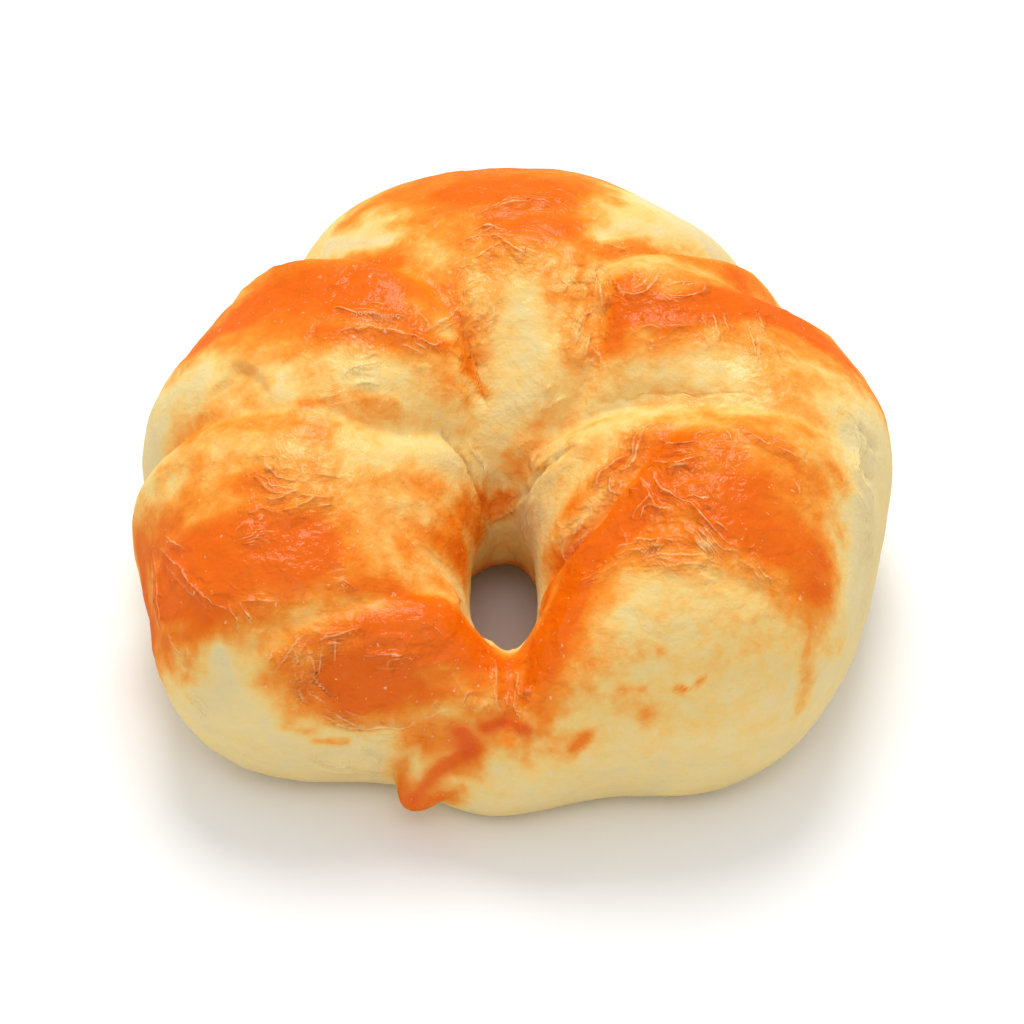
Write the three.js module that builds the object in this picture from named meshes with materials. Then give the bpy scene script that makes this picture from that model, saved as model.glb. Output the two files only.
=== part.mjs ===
// A ring croissant: a band of dough rolled up, bent into a ring, pinched shut at the front and baked flat.
// The roll is thick and high at the back and tapers to the join. Its overlapping turns show as creases
// that run from the outside, over the top and down into the hole.
import * as THREE from 'three';
import { mergeVertices } from 'three/addons/utils/BufferGeometryUtils.js';

// Lengths are in millimetres and angles in degrees. Round the ring, theta starts at the front (-Y) and
// runs counter-clockwise seen from above. Round the roll, phi is 0 at the outside, 90 on top,
// 180 at the hole and 270 underneath. The origin is under the middle of the ring, on the table.
const HOLE = {
  x: -1.2,
  y: -22.9,
  halfWidth: 5.6,
  front: { length: 11.5, roundness: 3.6 },
  back: { length: 10.5, roundness: 2 },
};

// The roll every 30 degrees from the front: reach from the hole's axis, height, height of its widest level
const SECTIONS = [
  [37.5, 27, 12],
  [38, 34, 14],
  [52.8, 41, 17],
  [57.5, 44, 19],
  [68, 45, 20],
  [75, 47, 20],
  [83.5, 49, 21],
  [74, 47, 20],
  [65.5, 45, 19],
  [56.6, 42, 18],
  [53, 37, 15],
  [35, 32, 13],
];
const TOP_ROUNDNESS = 2;
const BASE_ROUNDNESS = 2.6;
const BASE_FLATTENING = 1.5;
const CURVE_TENSION = 0.5;

// A crease follows rows of theta, phi and depth. It opens out over `near` towards smaller theta and over
// `far` towards larger theta, and narrows where the roll has less room beside the hole. The steps of
// the surface lean along the creases marked as guides.
const CREASES = [
  {
    name: 'back left',
    route: [
      [224, -25, 0], [218, 25, 8.6], [210, 58, 7], [202, 80, 4.2],
      [194.5, 106, 2.8], [191, 130, 2.6], [195, 160, 0],
    ],
    near: 21,
    far: 7,
    guide: true,
  },
  {
    name: 'left',
    route: [
      [255, -25, 0], [253, 14, 5.6], [250, 56, 3.4], [246.5, 88, 1.8], [237, 120, 2.6],
      [212, 138, 2.4], [197, 153, 1.8], [189, 169, 1.6], [187, 186, 1], [187, 200, 0],
    ],
    near: 15,
    far: 8,
    guide: true,
  },
  {
    name: 'left front',
    route: [[297, 10, 0], [301, 40, 1.2], [311, 84, 2], [318, 115, 1.6], [322, 140, 0]],
    near: 10,
    far: 10,
    guide: true,
  },
  {
    name: 'join',
    route: [
      [-22, -16, 0], [-13, 14, 2.2], [-4, 35, 2.4], [1, 60, 2.6],
      [1.5, 98, 2.6], [1.5, 150, 1.6], [1.5, 200, 0],
    ],
    near: 8,
    far: 8,
    guide: true,
  },
  {
    name: 'right',
    route: [
      [98, -10, 0], [103, 38, 1.6], [109, 72, 2.2], [119, 96, 3], [130, 112, 3.6], [145, 131, 3.6],
      [155, 141, 3], [163, 152, 2.2], [173, 163, 1.6], [186, 170, 1], [190, 178, 0],
    ],
    near: 8,
    far: 12,
    guide: true,
  },
  {
    name: 'back right',
    route: [
      [139, -25, 0], [144, 22, 4.6], [150, 55, 4.4], [158.5, 78, 3.2],
      [159, 96, 3], [152, 112, 2.6], [153, 130, 2], [166, 152, 0],
    ],
    near: 6,
    far: 9,
    guide: true,
  },
  {
    name: 'back right, second turn',
    route: [[130, -15, 0], [134, 28, 5.2], [140, 57, 2.8], [151, 75, 0.8], [157, 88, 0]],
    near: 6,
    far: 18,
  },
  {
    name: 'right rim',
    route: [[114, 92, 0], [104, 119, 2.2], [80, 134, 3.2], [56, 148, 2.4], [36, 162, 0]],
    near: 9,
    far: 11,
  },
];
const CREASE_ROUNDING = 1.4;
const CREASE_STEPS = 64;
const FULL_WIDTH_REACH = 30;
const LEAST_WIDTH = 0.3;

// The loose end of the dough stands out of the join: rows of theta, phi and height
const TAIL = {
  route: [[-11, 16, 0.4], [-16, 6, 1.8], [-20, -6, 4], [-22, -12, 4.6]],
  halfWidth: 4.4,
  fullness: 0.75,
};

// Slow waves make the roll uneven: height, radians per millimetre along X, Y and Z, and phase
const LUMPS = [
  { height: 0.55, wave: [0.11, 0.05, 0.07], phase: 0.4 },
  { height: 0.45, wave: [-0.06, 0.13, 0.09], phase: 1.9 },
  { height: 0.35, wave: [0.17, -0.12, 0.05], phase: 3.1 },
  { height: 0.25, wave: [0.08, 0.21, -0.16], phase: 5 },
];

// Steps of the surface round the ring and round the roll, crowded towards the back and the top
const RING_STEPS = 120;
const ROLL_STEPS = 48;
const BACK_CROWDING = 0.2;
const TOP_CROWDING = 0.35;
const LEAN_FROM_BASE = [-70, -30];
const LEAN_UP_TO_HOLE = [100, 150];
const NORMAL_STEP = 0.4;
const WELD = 1e-4;
const TOP = 90;
const PLAIN_TORUS = { ring: 2, roll: 1 };

const CRUST = { color: 0xe0a050, roughness: 0.35, metalness: 0 };

const sectionCurve = new THREE.CatmullRomCurve3(
  SECTIONS.map((row) => new THREE.Vector3(...row)), true, 'catmullrom', CURVE_TENSION);

function sectionAt(theta) {
  const turn = theta / 360;
  const section = sectionCurve.getPoint(turn - Math.floor(turn));
  return { reach: section.x, height: section.y, widest: section.z };
}

function holeReach(theta) {
  const { length, roundness } = Math.cos(theta) > 0 ? HOLE.front : HOLE.back;
  const across = Math.abs(Math.sin(theta)) / HOLE.halfWidth;
  const along = Math.abs(Math.cos(theta)) / length;
  return (across ** roundness + along ** roundness) ** (-1 / roundness);
}

function rounded(value, roundness) {
  return Math.sign(value) * Math.abs(value) ** (2 / roundness);
}

// A point of the smooth roll, before creases, tail and lumps
function smoothPoint(thetaDegrees, phiDegrees) {
  const { reach, height, widest } = sectionAt(thetaDegrees);
  const theta = THREE.MathUtils.degToRad(thetaDegrees);
  const phi = THREE.MathUtils.degToRad(phiDegrees);
  const inner = holeReach(theta);
  const radius = (inner + reach) / 2 + (reach - inner) / 2 * Math.cos(phi);
  const lift = Math.sin(phi);
  const span = lift > 0 ? height - widest : widest + BASE_FLATTENING;
  const z = widest + span * rounded(lift, lift > 0 ? TOP_ROUNDNESS : BASE_ROUNDNESS);
  return new THREE.Vector3(HOLE.x + radius * Math.sin(theta), HOLE.y - radius * Math.cos(theta), z);
}

function smoothNormal(theta, phi) {
  const along = smoothPoint(theta + NORMAL_STEP, phi).sub(smoothPoint(theta - NORMAL_STEP, phi));
  const around = smoothPoint(theta, phi + NORMAL_STEP).sub(smoothPoint(theta, phi - NORMAL_STEP));
  return along.cross(around).normalize();
}

// Places along a route over the smooth roll, each with its size
function placesOn(route) {
  const rows = route.map((row) => new THREE.Vector3(...row));
  const curve = new THREE.CatmullRomCurve3(rows, false, 'catmullrom', CURVE_TENSION);
  return curve.getPoints(CREASE_STEPS).map((row) => ({
    theta: row.x,
    phi: row.y,
    size: Math.max(row.z, 0),
    point: smoothPoint(row.x, row.y),
  }));
}

// The nearest place on a route: its distance, its size, and the side, from 1 towards smaller theta to -1
function nearest(places, point, normal) {
  const piece = new THREE.Line3();
  const foot = new THREE.Vector3();
  const best = { distance: Infinity };
  for (let k = 1; k < places.length; k += 1) {
    piece.set(places[k - 1].point, places[k].point);
    const share = piece.closestPointToPointParameter(point, true);
    const distance = piece.at(share, foot).distanceTo(point);
    if (distance < best.distance) {
      const sideways = normal.clone().cross(piece.delta(new THREE.Vector3())).normalize();
      best.distance = distance;
      best.size = THREE.MathUtils.lerp(places[k - 1].size, places[k].size, share);
      best.side = point.clone().sub(foot).normalize().dot(sideways);
    }
  }
  return best;
}

function creaseDepth(crease, point, normal) {
  const { distance, size, side } = nearest(crease.places, point, normal);
  const room = Math.hypot(point.x - HOLE.x, point.y - HOLE.y) / FULL_WIDTH_REACH;
  const halfWidth = THREE.MathUtils.lerp(crease.far, crease.near, (side + 1) / 2);
  const width = halfWidth * THREE.MathUtils.clamp(room, LEAST_WIDTH, 1);
  const soft = Math.hypot(distance, CREASE_ROUNDING) - CREASE_ROUNDING;
  return size * Math.max(1 - soft / width, 0) ** 2;
}

function tailHeight(point, normal) {
  const { distance, size } = nearest(tailPlaces, point, normal);
  return size * Math.max(1 - (distance / TAIL.halfWidth) ** 2, 0) ** TAIL.fullness;
}

function lumpHeight(point) {
  return LUMPS.reduce((sum, { height, wave, phase }) =>
    sum + height * Math.sin(point.dot(new THREE.Vector3(...wave)) + phase), 0);
}

const creases = CREASES.map((crease) => ({ ...crease, places: placesOn(crease.route) }));
const guides = creases.filter((crease) => crease.guide)
  .map(({ places }) => ({ places, turn: thetaOn({ places }, TOP) }))
  .sort((one, other) => one.turn - other.turn);
const tailPlaces = placesOn(TAIL.route);

// A point of the baked surface, flat where it lies on the table
function crustPoint(theta, phi) {
  const point = smoothPoint(theta, phi);
  const normal = smoothNormal(theta, phi);
  const depth = creases.reduce((sum, crease) => sum + creaseDepth(crease, point, normal), 0);
  const relief = tailHeight(point, normal) + lumpHeight(point) - depth;
  point.addScaledVector(normal, relief);
  point.z = Math.max(point.z, 0);
  return point;
}

// Where a guiding crease crosses the roll at phi
function thetaOn(guide, phi) {
  const next = guide.places.findIndex((place) => place.phi >= phi);
  if (next <= 0) return guide.places.at(next).theta;
  const [low, high] = [guide.places[next - 1], guide.places[next]];
  return THREE.MathUtils.mapLinear(phi, low.phi, high.phi, low.theta, high.theta);
}

// A step round the ring leans over with the two creases beside it, so that no step cuts across them
function leaningTheta(turn, phi) {
  const above = Math.max(guides.findIndex((guide) => guide.turn > turn), 0);
  const [left, right] = [guides.at(above - 1), guides[above]];
  const wrap = (degrees) => THREE.MathUtils.euclideanModulo(degrees, 360);
  const share = wrap(turn - left.turn) / wrap(right.turn - left.turn);
  const lean = THREE.MathUtils.lerp(thetaOn(left, phi) - left.turn, thetaOn(right, phi) - right.turn, share);
  const clearOfBase = THREE.MathUtils.smoothstep(phi, ...LEAN_FROM_BASE);
  const nearHole = THREE.MathUtils.smoothstep(phi, ...LEAN_UP_TO_HOLE);
  return turn + lean * clearOfBase * (1 - nearHole);
}

// Every point of a plain torus is moved to its place on the crust
function ringGeometry() {
  const geometry = new THREE.TorusGeometry(PLAIN_TORUS.ring, PLAIN_TORUS.roll, ROLL_STEPS, RING_STEPS);
  const position = geometry.getAttribute('position');
  const uv = geometry.getAttribute('uv');
  for (let k = 0; k < position.count; k += 1) {
    const ring = THREE.MathUtils.degToRad(360 * (uv.getX(k) % 1));
    const roll = THREE.MathUtils.degToRad(360 * (uv.getY(k) % 1) - 90);
    const turn = THREE.MathUtils.radToDeg(ring + BACK_CROWDING * Math.sin(ring));
    const phi = THREE.MathUtils.radToDeg(roll + TOP_CROWDING * Math.cos(roll));
    position.setXYZ(k, ...crustPoint(leaningTheta(turn, phi), phi));
  }
  geometry.deleteAttribute('normal');
  geometry.deleteAttribute('uv');
  return mergeVertices(geometry, WELD);
}

const bread = new THREE.Mesh(ringGeometry(), new THREE.MeshStandardMaterial(CRUST));
bread.name = 'ring_croissant';

const part = new THREE.Group();
part.add(bread);

export default part;
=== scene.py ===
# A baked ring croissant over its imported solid: the same roll and creases on a finer surface, with the thin
# wrinkled skin of the egg glaze, the brushed orange patches, and a plain studio.
import math

import bpy
import numpy as np
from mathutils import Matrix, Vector


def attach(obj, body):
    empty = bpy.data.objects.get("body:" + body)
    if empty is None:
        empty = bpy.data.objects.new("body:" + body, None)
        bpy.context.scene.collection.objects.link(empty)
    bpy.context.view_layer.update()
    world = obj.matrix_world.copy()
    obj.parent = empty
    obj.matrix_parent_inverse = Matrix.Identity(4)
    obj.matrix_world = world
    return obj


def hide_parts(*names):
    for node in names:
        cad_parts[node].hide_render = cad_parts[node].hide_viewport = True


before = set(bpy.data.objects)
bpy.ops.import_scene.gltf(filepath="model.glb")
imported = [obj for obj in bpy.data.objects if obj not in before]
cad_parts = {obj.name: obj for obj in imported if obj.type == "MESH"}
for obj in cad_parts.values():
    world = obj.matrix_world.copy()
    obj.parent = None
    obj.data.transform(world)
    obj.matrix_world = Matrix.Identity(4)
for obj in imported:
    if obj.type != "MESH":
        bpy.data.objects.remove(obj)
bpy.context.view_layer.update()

NODE = "ring_croissant"
MILLIMETRE = 0.001

# Lengths are in millimetres and angles in degrees, as the solid has them. Round the ring, theta starts at the
# front and runs counter-clockwise seen from above. Round the roll, phi is 0 outside, 90 on top, 180 at the
# hole and 270 underneath.
HOLE_X, HOLE_Y = -1.2, -22.9
HOLE_HALF_WIDTH, HOLE_FRONT, HOLE_BACK = 5.6, 11.5, 10.5
HOLE_FRONT_ROUNDNESS, HOLE_BACK_ROUNDNESS = 3.6, 2.0

# The roll every 30 degrees from the front: reach from the hole's axis, height, height of its widest level
SECTIONS = np.array([
    (37.5, 27, 12), (38, 34, 14), (52.8, 41, 17), (57.5, 44, 19), (68, 45, 20), (75, 47, 20),
    (83.5, 49, 21), (74, 47, 20), (65.5, 45, 19), (56.6, 42, 18), (53, 37, 15), (35, 32, 13),
], float)
TOP_ROUNDNESS, BASE_ROUNDNESS = 2.0, 2.6
BASE_FLATTENING = 1.5

# Creases: how far they open out towards smaller and towards larger theta, whether the steps of the surface
# lean along them, and rows of theta, phi and depth
CREASES = [
    # back left
    (21, 7, True, [
        (224, -25, 0), (218, 25, 8.6), (210, 58, 7), (202, 80, 4.2),
        (194.5, 106, 2.8), (191, 130, 2.6), (195, 160, 0)]),
    # left
    (15, 8, True, [
        (255, -25, 0), (253, 14, 5.6), (250, 56, 3.4), (246.5, 88, 1.8), (237, 120, 2.6),
        (212, 138, 2.4), (197, 153, 1.8), (189, 169, 1.6), (187, 186, 1), (187, 200, 0)]),
    # left front
    (10, 10, True, [
        (297, 10, 0), (301, 40, 1.2), (311, 84, 2), (318, 115, 1.6), (322, 140, 0)]),
    # join
    (8, 8, True, [
        (-22, -16, 0), (-13, 14, 2.2), (-4, 35, 2.4), (1, 60, 2.6),
        (1.5, 98, 2.6), (1.5, 150, 1.6), (1.5, 200, 0)]),
    # right
    (8, 12, True, [
        (98, -10, 0), (103, 38, 1.6), (109, 72, 2.2), (119, 96, 3), (130, 112, 3.6), (145, 131, 3.6),
        (155, 141, 3), (163, 152, 2.2), (173, 163, 1.6), (186, 170, 1), (190, 178, 0)]),
    # back right
    (6, 9, True, [
        (139, -25, 0), (144, 22, 4.6), (150, 55, 4.4), (158.5, 78, 3.2),
        (159, 96, 3), (152, 112, 2.6), (153, 130, 2), (166, 152, 0)]),
    # back right, second turn
    (6, 18, False, [
        (130, -15, 0), (134, 28, 5.2), (140, 57, 2.8), (151, 75, 0.8), (157, 88, 0)]),
    # right rim
    (9, 11, False, [
        (114, 92, 0), (104, 119, 2.2), (80, 134, 3.2), (56, 148, 2.4), (36, 162, 0)]),
]
CREASE_ROUNDING = 0.7
FULL_WIDTH_REACH, LEAST_WIDTH = 30.0, 0.3
ROUTE_STEPS = 64

# The loose end of the dough stands out of the join: rows of theta, phi and height
TAIL_ROUTE = [(-11, 16, 0.4), (-16, 6, 1.8), (-20, -6, 4), (-22, -12, 4.6)]
TAIL_HALF_WIDTH, TAIL_FULLNESS = 4.4, 0.75

# Slow waves make the roll uneven: height, radians per millimetre along X, Y and Z, and phase
LUMPS = [
    (0.55, (0.11, 0.05, 0.07), 0.4),
    (0.45, (-0.06, 0.13, 0.09), 1.9),
    (0.35, (0.17, -0.12, 0.05), 3.1),
    (0.25, (0.08, 0.21, -0.16), 5.0),
]

# Steps of the surface round the ring, closer at the back, and round the roll, even but wider underneath. The
# steps lean with the creases between the first pair of phi and the second.
RING_STEPS, ROLL_STEPS = 500, 198
BACK_CROWDING = 0.2
UNDER_PHI, UNDER_DENSITY = (205, 325), 0.3
LEAN_FROM_BASE, LEAN_UP_TO_HOLE = (-70, -30), (100, 150)
NORMAL_STEP = 0.4
BASE, TOP, TURN = -90.0, 90.0, 360

# Brushed glaze that browned: a route of theta and phi, half its width, how far it baked, how ragged its edge
# is, and how softly it fades as a share of half its width
STROKES = [
    # back
    ([(190, 40), (180, 44), (170, 40)], 9, 0.75, 0.48, 0.94),
    ([(186, 64), (180, 67), (174, 68)], 9, 0.95, 0.48, 0.94),
    ([(181, 84), (175, 85), (171, 82)], 5.5, 0.9, 0.4, 0.81),
    ([(194, 53), (190, 61), (185, 71)], 5, 0.65, 0.8, 0.95),
    ([(169, 66), (168, 59), (164, 52)], 3.5, 0.55, 0.8, 0.95),
    ([(194, 74), (187, 89), (177, 94), (169, 91)], 4, 0.45, 0.96, 0.95),
    ([(169, 75), (166, 84), (165, 92)], 2.2, 0.5, 0.8, 0.95),
    ([(203, 42), (199, 45), (195, 48)], 2.4, 0.6, 0.48, 0.81),
    ([(204, 46), (201, 54)], 1.2, 0.45, 0.64, 0.81),
    ([(198, 63), (195, 69)], 1.7, 0.45, 0.64, 0.81),
    ([(166, 62), (162, 64), (158, 64)], 3, 0.33, 0.8, 0.9),
    ([(157, 67), (153, 60), (151, 51)], 2.2, 0.4, 0.6, 0.9),
    ([(183, 63), (176, 66)], 3, 1, 0.4, 0.8),
    # the tongue of dough between the turns
    ([(188, 92), (179, 100), (170, 100)], 4, 0.5, 0.96, 0.95),
    ([(190, 98), (191, 106), (191, 115)], 2, 0.5, 0.8, 0.94),
    ([(168, 106), (163, 102)], 1.7, 0.65, 0.64, 0.81),
    ([(161, 95), (158, 106), (154, 112)], 1.3, 0.5, 0.64, 0.94),
    ([(165, 139), (168, 147), (174, 155)], 1.5, 0.4, 0.64, 0.94),
    ([(177, 160), (168, 156), (160, 149)], 1.2, 0.3, 0.48, 0.94),
    ([(202, 164), (188, 176), (181, 171)], 1.4, 0.65, 0.24, 0.68),
    ([(175, 163), (156, 152)], 1.1, 0.3, 0.4, 0.94),
    ([(191, 117), (192, 121), (192, 125), (191, 130), (188, 135)], 0.6, 0.65, 0.24, 0.68),
    ([(202, 116), (196, 118)], 1, 0.85, 0.48, 0.81),
    ([(209, 110), (203, 116), (197, 120)], 1.5, 0.6, 0.64, 0.94),
    ([(206, 125), (198, 131)], 1.6, 0.45, 0.8, 0.95),
    ([(184, 106), (186, 114), (188, 122)], 2.2, 0.45, 0.8, 0.9),
    ([(164, 90), (163, 100), (162, 112), (158, 119)], 1.8, 0.5, 0.6, 0.9),
    ([(193, 111), (193, 118), (194, 126)], 1.1, 0.6, 0.5, 0.8),
    ([(184, 101), (181, 107)], 2, 0.55, 0.8, 0.95),
    # back left
    ([(227, 56), (221, 65), (215, 78), (209, 88)], 6.5, 0.97, 0.4, 0.74),
    ([(233, 40), (227, 56)], 5, 0.9, 0.48, 0.81),
    ([(223, 74), (218, 90), (209, 102)], 3.6, 0.85, 0.4, 0.81),
    ([(227, 87), (219, 100), (206, 111)], 1.9, 0.65, 0.72, 0.94),
    ([(197, 86), (195, 97), (197, 106)], 2.8, 0.45, 0.96, 0.95),
    ([(217, 55), (208, 66), (201, 78)], 2.2, 0.85, 0.32, 0.68),
    ([(234, 44), (236, 58), (232, 84), (219, 105), (206, 116)], 3, 0.33, 0.8, 0.95),
    ([(236, 22), (230, 30)], 3.5, 0.6, 0.4, 0.81),
    ([(244, 58), (243, 68), (244, 73)], 1.6, 0.3, 0.4, 0.94),
    ([(212, 50), (207, 58), (202, 70)], 2.5, 0.8, 0.3, 0.6),
    ([(232, 70), (228, 89), (219, 105), (206, 116)], 3, 0.5, 0.8, 0.9),
    ([(228, 72), (227, 82), (223, 96), (214, 109)], 3.6, 0.72, 0.6, 0.9),
    ([(231, 34), (227, 32), (224, 36)], 3, 0.6, 0.4, 0.8),
    ([(209, 90), (204, 95), (198, 99)], 3, 0.7, 0.5, 0.9),
    # left
    ([(250, 35), (253, 60), (253, 81), (250, 102)], 4.5, 0.5, 0.8, 0.95),
    ([(245, 90), (242, 98)], 1.2, 0.6, 0.96, 0.94),
    ([(241, 105), (232, 114), (227, 119)], 1.7, 0.4, 1.12, 0.94),
    ([(254, 99), (257, 103)], 2, 0.6, 0.8, 0.94),
    ([(252, 82), (252, 91)], 1.6, 0.55, 0.8, 0.94),
    ([(259, 35), (261, 53), (263, 77)], 2.6, 0.38, 0.8, 0.95),
    ([(263, 91), (264, 108), (256, 127)], 2, 0.35, 1.28, 0.95),
    ([(281, 36), (285, 62), (290, 83)], 8.5, 1, 0.4, 0.54),
    ([(283, 27), (289, 40), (292, 48)], 4, 0.92, 0.48, 0.68),
    ([(269, 31), (271, 40)], 3.2, 0.8, 0.64, 0.81),
    ([(284, 102), (298, 96), (304, 93)], 2.8, 0.6, 0.72, 0.95),
    ([(269, 69), (270, 79)], 3, 0.75, 0.72, 0.94),
    ([(306, 90), (309, 99), (314, 105)], 1.8, 0.8, 0.48, 0.81),
    ([(289, 21), (292, 31), (294, 38)], 2.2, 0.75, 0.8, 0.94),
    ([(291, 15), (292, 14)], 1.4, 0.55, 1.12, 0.94),
    ([(295, 14), (296, 20)], 1.2, 0.55, 1.12, 0.94),
    ([(296, 32), (298, 26)], 0.9, 0.5, 0.8, 0.94),
    ([(296, 57), (299, 59)], 1.6, 0.6, 0.96, 0.94),
    ([(232, 158), (223, 164), (218, 173)], 2.6, 0.7, 0.56, 0.81),
    ([(281, 146), (271, 159)], 2.4, 0.6, 0.72, 0.94),
    ([(284, 132), (273, 144)], 2, 0.42, 0.8, 0.95),
    ([(266, 12), (269, 2), (273, -5), (282, 5)], 4.5, 0.95, 0.5, 0.8),
    ([(294, 41), (297, 41)], 2, 0.75, 0.5, 0.8),
    ([(253, 102), (246, 116)], 2.6, 0.4, 1, 0.95),
    ([(269, 98), (265, 115), (249, 135)], 3.5, 0.42, 1.2, 0.95),
    ([(255, 47), (263, 53), (267, 47)], 2.5, 0.45, 0.8, 0.95),
    ([(276, 126), (283, 139), (284, 157)], 3.5, 0.6, 0.8, 0.95),
    ([(302, 73), (304, 83), (306, 94)], 2, 0.45, 0.8, 0.9),
    ([(262, 152), (272, 158), (284, 158)], 2.4, 0.65, 0.6, 0.9),
    ([(294, 123), (306, 131), (321, 135)], 2.6, 0.6, 0.6, 0.9),
    ([(300, 69), (303, 79), (306, 89)], 2.2, 0.6, 0.7, 0.9),
    ([(266, 12), (272, 22)], 3.5, 0.8, 0.6, 0.85),
    ([(269, 127), (257, 135)], 3.5, 0.5, 1, 0.95),
    # front left
    ([(318, 43), (323, 50), (331, 71), (340, 93)], 5.2, 1, 0.32, 0.54),
    ([(321, 30), (326, 33), (333, 43)], 3, 0.85, 0.48, 0.81),
    ([(309, 44), (313, 33)], 3.2, 0.65, 0.64, 0.94),
    ([(320, 90), (325, 103), (338, 102), (348, 103)], 3.6, 0.85, 0.32, 0.68),
    ([(309, 54), (312, 62)], 2.2, 0.65, 0.72, 0.94),
    ([(308, 34), (313, 29), (318, 24)], 1.9, 0.5, 0.96, 0.95),
    ([(321, 25), (331, 30), (341, 46)], 2, 0.65, 0.72, 0.94),
    ([(351, 91), (358, 105)], 3.2, 0.9, 0.48, 0.81),
    ([(335, 12), (340, 24), (344, 33)], 2, 0.62, 0.72, 0.81),
    ([(317, 7), (321, 7)], 0.8, 0.4, 0.8, 0.95),
    ([(312, 13), (316, 12)], 1.1, 0.3, 0.8, 0.95),
    ([(341, 42), (350, 62)], 2, 0.45, 0.96, 0.95),
    ([(313, 60), (317, 73)], 2, 0.7, 0.6, 0.8),
    ([(341, 59), (345, 55)], 1.8, 0.6, 0.6, 0.9),
    ([(340, 15), (345, 21)], 1.6, 0.7, 0.6, 0.8),
    ([(342, 73), (352, 74), (350, 49)], 2.2, 0.6, 0.8, 0.9),
    ([(318, 73), (332, 72), (346, 90)], 3.6, 0.85, 0.4, 0.8),
    ([(317, 34), (327, 31), (341, 49)], 2.4, 0.6, 0.8, 0.9),
    # join
    ([(1, 112), (0, 75), (1, 52)], 2.6, 0.7, 0.8, 0.94),
    ([(7, 85), (5, 62)], 1.4, 0.85, 0.48, 0.81),
    ([(354, 41), (359, 47), (365, 42)], 1.2, 0.9, 0.48, 0.81),
    ([(348, 31), (350, 22)], 1.5, 0.85, 0.8, 0.68),
    ([(348, 15), (344, 5), (342, -2), (340, -9)], 1.1, 0.7, 0.32, 0.68),
    ([(336, -9), (340, -14), (344, -10)], 2.6, 0.75, 0.32, 0.68),
    ([(347, 9), (352, 14)], 1.6, 0.55, 0.8, 0.94),
    ([(350, 45), (356, 54)], 1.4, 0.5, 0.8, 0.95),
    ([(9, 48), (11, 34), (17, 26)], 1.6, 0.35, 0.96, 0.95),
    ([(16, 22), (20, 25)], 0.8, 0.65, 0.64, 0.81),
    ([(355, 36), (361, 35)], 1.6, 0.5, 0.8, 0.9),
    ([(6, 29), (15, 19)], 2.2, 0.3, 1.2, 0.9),
    ([(10, 47), (9, 37)], 1.6, 0.55, 0.8, 0.9),
    # right, from the hole's rim outwards
    ([(25, 107), (43, 122), (62, 123), (78, 113)], 5, 0.97, 0.24, 0.47),
    ([(15, 98), (21, 105), (28, 111)], 4.8, 0.97, 0.24, 0.54),
    ([(10, 77), (15, 85)], 4.2, 0.9, 0.48, 0.81),
    ([(8, 57), (11, 69)], 2.4, 0.6, 0.72, 0.94),
    ([(115, 119), (109, 127), (96, 136), (89, 144)], 1.7, 0.65, 0.56, 0.94),
    ([(103, 108), (92, 106), (82, 93), (80, 71), (76, 52), (74, 43)], 5.8, 0.88, 0.4, 0.54),
    ([(105, 100), (98, 91), (86, 79)], 4.2, 0.75, 0.48, 0.81),
    ([(74, 82), (73, 61)], 4.2, 0.95, 0.48, 0.68),
    ([(79, 47), (78, 38)], 2.4, 0.7, 0.72, 0.81),
    ([(68, 48), (72, 38)], 2.2, 0.6, 0.88, 0.94),
    ([(70, 36), (72, 40)], 1.5, 0.6, 0.72, 0.94),
    ([(121, 113), (112, 96), (105, 81), (104, 59)], 2.8, 0.5, 0.72, 0.95),
    ([(95, 75), (99, 63), (105, 50)], 3.6, 0.42, 0.8, 0.95),
    ([(88, 53), (82, 48)], 2.6, 0.5, 0.8, 0.95),
    ([(96, 48), (94, 42)], 2.2, 0.5, 0.96, 0.95),
    ([(87, 36), (86, 29)], 2.6, 0.5, 1.2, 0.95),
    ([(52, 107), (61, 90), (64, 76)], 2.8, 0.45, 0.8, 0.95),
    ([(43, 99), (52, 87), (58, 67)], 2.4, 0.28, 0.96, 0.95),
    ([(42, 76), (52, 64), (61, 50), (63, 40)], 3.4, 0.2, 2.2, 0.95),
    ([(43, 53), (57, 41)], 2, 0.28, 1.92, 0.95),
    ([(63, 31), (64, 25), (60, 8)], 1.4, 0.32, 1.28, 0.95),
    ([(70, 15), (68, 18)], 1.4, 0.38, 1.12, 0.95),
    ([(41, 36), (42, 34)], 0.6, 0.75, 0.32, 0.68),
    ([(45, 36), (44, 35)], 0.55, 0.65, 0.32, 0.68),
    ([(30, 42), (35, 39)], 1, 0.45, 0.96, 0.94),
    ([(34, 29), (34, 23)], 1, 0.4, 0.96, 0.94),
    ([(41, 54), (43, 49)], 1.4, 0.5, 1.12, 0.95),
    ([(27, 55), (23, 50)], 2.3, 0.35, 1.12, 0.95),
    ([(63, 26), (60, 12), (59, 4)], 0.8, 0.35, 0.88, 0.94),
    ([(345, 12), (370, 20), (395, 22), (412, 18)], 7, 0.15, 1.2, 0.95),
    ([(25, 41), (33, 38)], 2, 0.3, 1.2, 0.9),
    ([(98, 76), (94, 61), (91, 49)], 3.2, 0.7, 1, 0.95),
    ([(143, 51), (140, 43), (138, 32)], 3, 0.6, 0.4, 0.8),
    ([(28, 135), (52, 148), (68, 144)], 2.6, 0.85, 0.5, 0.9),
    ([(89, 71), (89, 59)], 2, 0.5, 0.8, 0.9),
    ([(88, 127), (72, 108), (67, 92)], 4, 0.62, 0.6, 0.9),
    ([(61, 122), (59, 105), (59, 87)], 2.6, 0.5, 1, 0.95),
    ([(87, 75), (87, 66), (86, 56)], 2.6, 0.7, 0.8, 0.9),
    ([(88, 36), (84, 32), (78, 30)], 1.4, 0.5, 1.2, 0.95),
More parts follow.
